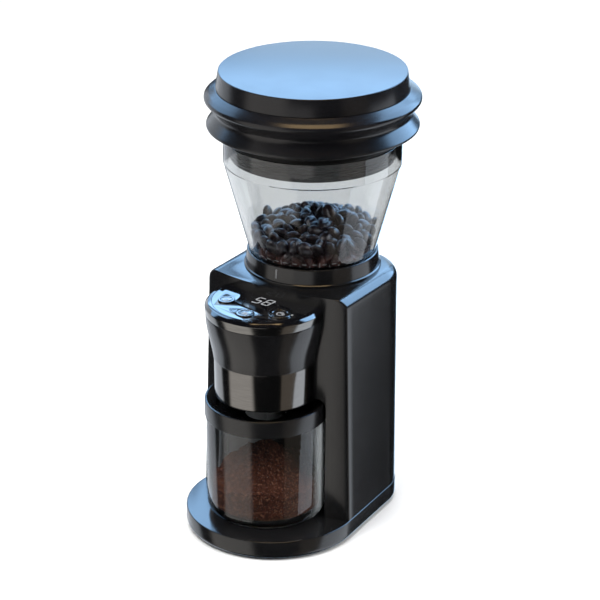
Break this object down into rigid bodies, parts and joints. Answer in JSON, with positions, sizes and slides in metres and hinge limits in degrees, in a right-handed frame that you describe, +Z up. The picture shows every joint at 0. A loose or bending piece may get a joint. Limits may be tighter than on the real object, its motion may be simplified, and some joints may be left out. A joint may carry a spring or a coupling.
{
  "type": "burr coffee grinder",
  "caption": "Electric conical burr coffee grinder with clear bean hopper, bellows lid, touch head with display, and a removable clear grounds jar.",
  "frame": {"origin": "on the resting surface, at the middle of the bounding box", "axes": "+Z up, -Y towards the front with the jar and controls, +X to the right seen from the front"},
  "size_m": [0.1576, 0.198, 0.34],
  "materials": {
    "black_casing": "gloss black moulded ABS with a fine texture",
    "black_soft": "soft satin black silicone",
    "black_plastic": "satin black moulded plastic",
    "inner_plastic": "glass-filled dark grey plastic",
    "white_plastic": "natural white acetal",
    "panel_black": "polished black translucent panel",
    "trim_metal": "dark plated trim ring",
    "band_metal": "polished steel band",
    "button_metal": "plated button caps",
    "burr_steel": "hardened ground steel",
    "steel": "bright zinc and turned steel",
    "can_steel": "pressed plated steel",
    "bronze": "sintered bronze and brass",
    "magnet": "dark ferrite",
    "winding": "enamelled copper winding on a steel shaft",
    "board": "green circuit board",
    "component": "moulded electrical parts",
    "rubber": "matt black rubber",
    "seal_rubber": "soft silicone seal",
    "clear_plastic": "clear transparent wall"
  },
  "bodies": {
    "base": {"housing": "black_casing", "bottom_cover": "black_plastic", "rubber_feet": "rubber", "cover_screws": "steel", "cord_gland": "black_plastic", "head_shell": "black_casing", "head_trim_ring": "trim_metal", "head_band": "band_metal", "head_floor": "black_casing", "head_screws": "steel", "control_panel": "panel_black", "display_module": "component", "dome_switches": "steel", "control_board": "board", "outlet_spout": "black_plastic", "grounds_duct": "inner_plastic", "hopper_collar": "black_casing", "index_mark": "white_plastic", "chamber": "inner_plastic", "chamber_screws": "steel", "chamber_seal": "seal_rubber", "upper_bush": "bronze", "lower_bush": "bronze", "idler_axle": "steel", "motor_magnets": "magnet", "motor_can": "can_steel", "motor_end_cap": "black_plastic", "lower_gear_plate": "can_steel", "upper_gear_plate": "can_steel", "plate_spacers": "steel", "gearbox_screws": "steel", "power_board": "board", "power_components": "component", "hopper_switch": "component"},
    "power_key": {"power_button": "button_metal"},
    "select_key": {"select_button": "button_metal"},
    "start_key": {"start_button": "button_metal"},
    "burr_rotor": {"cone_burr": "burr_steel", "burr_nut": "steel", "drive_shaft": "steel", "sweep_disc": "white_plastic", "output_gear": "white_plastic"},
    "idler": {"idler_gear": "white_plastic"},
    "motor_rotor": {"motor_rotor": "winding", "motor_pinion": "bronze"},
    "upper_burr": {"ring_burr": "burr_steel", "ring_burr_carrier": "inner_plastic"},
    "grind_ring": {"adjusting_ring": "inner_plastic"},
    "bean_hopper": {"hopper": "clear_plastic"},
    "hopper_lid": {"lid_base": "black_plastic", "lid_gasket": "rubber", "bellows": "black_soft"},
    "lid_cap": {"press_cap": "black_soft"},
    "glass_jar": {"jar": "clear_plastic"},
    "jar_cover": {"jar_lid": "black_plastic", "jar_lid_seal": "seal_rubber"}
  },
  "joints": [
    {"name": "power_press", "type": "slide", "parent": "base", "child": "power_key", "axis": [0, 0, -1], "range_m": [0, 0.0008], "stiffness_N_per_m": 1800, "springref_m": -0.0005},
    {"name": "select_press", "type": "slide", "parent": "base", "child": "select_key", "axis": [0, 0, -1], "range_m": [0, 0.0008], "stiffness_N_per_m": 1800, "springref_m": -0.0005},
    {"name": "start_press", "type": "slide", "parent": "base", "child": "start_key", "axis": [0, 0, -1], "range_m": [0, 0.0008], "stiffness_N_per_m": 1800, "springref_m": -0.0005},
    {"name": "burr_spin", "type": "hinge", "parent": "base", "child": "burr_rotor", "pos_m": [0, 0.0202, 0.15], "axis": [0, 0, 1], "continuous": true},
    {"name": "idler_spin", "type": "hinge", "parent": "base", "child": "idler", "pos_m": [0.02182, 0.0302, 0.12], "axis": [0, 0, 1], "continuous": true},
    {"name": "motor_spin", "type": "hinge", "parent": "base", "child": "motor_rotor", "pos_m": [0, 0.0402, 0.1], "axis": [0, 0, 1], "continuous": true},
    {"name": "grind_setting", "type": "hinge", "parent": "base", "child": "grind_ring", "pos_m": [0, 0.0202, 0.18], "axis": [0, 0, 1], "range_deg": [-150, 150]},
    {"name": "burr_gap", "type": "slide", "parent": "base", "child": "upper_burr", "axis": [0, 0, 1], "range_m": [-0.00063, 0.00063]},
    {"name": "hopper_lift", "type": "slide", "parent": "grind_ring", "child": "bean_hopper", "axis": [0, 0, 1], "range_m": [0, 0.05]},
    {"name": "lid_lift", "type": "slide", "parent": "bean_hopper", "child": "hopper_lid", "axis": [0, 0, 1], "range_m": [0, 0.045]},
    {"name": "bellows_press", "type": "slide", "parent": "hopper_lid", "child": "lid_cap", "axis": [0, 0, -1], "range_m": [0, 0.018], "stiffness_N_per_m": 350, "springref_m": -0.002, "deforming": ["bellows"]},
    {"name": "jar_slide", "type": "slide", "parent": "base", "child": "glass_jar", "axis": [0, -1, 0], "range_m": [0, 0.12]},
    {"name": "jar_lid_lift", "type": "slide", "parent": "glass_jar", "child": "jar_cover", "axis": [0, 0, 1], "range_m": [0, 0.0025]}
  ],
  "couplings": [
    {"joint": "idler_spin", "follows": "burr_spin", "ratio": -3},
    {"joint": "motor_spin", "follows": "burr_spin", "ratio": 9},
    {"joint": "burr_gap", "follows": "grind_setting", "m_per_rad": 0.00023873}
  ]
}
